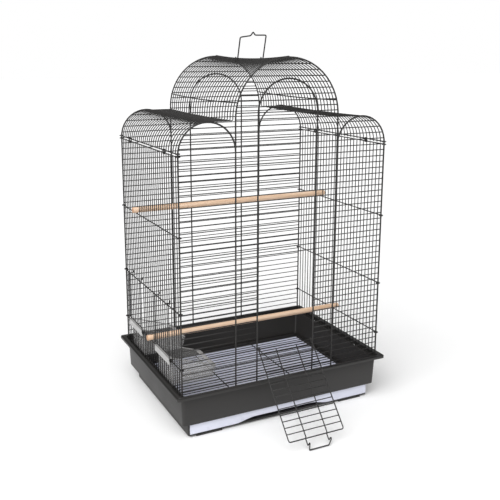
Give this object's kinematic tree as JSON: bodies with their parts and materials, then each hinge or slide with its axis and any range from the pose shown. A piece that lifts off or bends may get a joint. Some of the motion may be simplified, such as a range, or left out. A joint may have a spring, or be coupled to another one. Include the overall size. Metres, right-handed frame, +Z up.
{
  "type": "bird cage",
  "caption": "Arched wire bird cage on a plastic base with a pull-out drawer, drop-down door, carry handle, perches and hooked-on feeders.",
  "frame": {"origin": "on the floor, at the centre of the plastic base's flat underside", "axes": "+Z up, front with the door towards -Y, +X to the right when facing the front"},
  "size_m": [0.481, 0.4937, 0.7818],
  "materials": {
    "wire_paint": "semi-gloss charcoal coating on steel wire",
    "base_plastic": "satin dark grey moulding",
    "drawer_plastic": "pale lavender-white moulding",
    "clear_plastic": "clear, slightly hazy moulding",
    "perch_wood": "plain sanded dowel"
  },
  "bodies": {
    "cage": {"base_tray": "base_plastic", "floor_grille": "wire_paint", "front_panel": "wire_paint", "back_panel": "wire_paint", "left_side_panel": "wire_paint", "right_side_panel": "wire_paint", "roof_panel": "wire_paint", "left_eave_clip_front": "wire_paint", "left_eave_clip_back": "wire_paint", "right_eave_clip_front": "wire_paint", "right_eave_clip_back": "wire_paint", "upper_perch": "perch_wood", "lower_perch": "perch_wood", "front_feeder_cup": "clear_plastic", "back_feeder_cup": "clear_plastic"},
    "front_door": {"front_door": "wire_paint"},
    "carry_handle": {"carry_handle": "wire_paint"},
    "drawer": {"drawer": "drawer_plastic"},
    "front_feeder_door": {"front_feeder_door": "wire_paint"},
    "back_feeder_door": {"back_feeder_door": "wire_paint"}
  },
  "joints": [
    {"name": "front_door_hinge", "type": "hinge", "parent": "cage", "child": "front_door", "pos_m": [0, -0.168, 0.1605], "axis": [-1, 0, 0], "range_deg": [0, 137.5]},
    {"name": "carry_handle_hinge", "type": "hinge", "parent": "cage", "child": "carry_handle", "pos_m": [0, 0, 0.71928], "axis": [1, 0, 0], "range_deg": [-90.5, 38.5]},
    {"name": "drawer_slide", "type": "slide", "parent": "cage", "child": "drawer", "axis": [0, -1, 0], "range_m": [0, 0.11]},
    {"name": "front_feeder_door_hinge", "type": "hinge", "parent": "cage", "child": "front_feeder_door", "pos_m": [-0.2268, -0.072, 0.1475], "axis": [0, -1, 0], "range_deg": [0, 110]},
    {"name": "back_feeder_door_hinge", "type": "hinge", "parent": "cage", "child": "back_feeder_door", "pos_m": [-0.2268, 0.096, 0.1475], "axis": [0, -1, 0], "range_deg": [0, 110]}
  ]
}
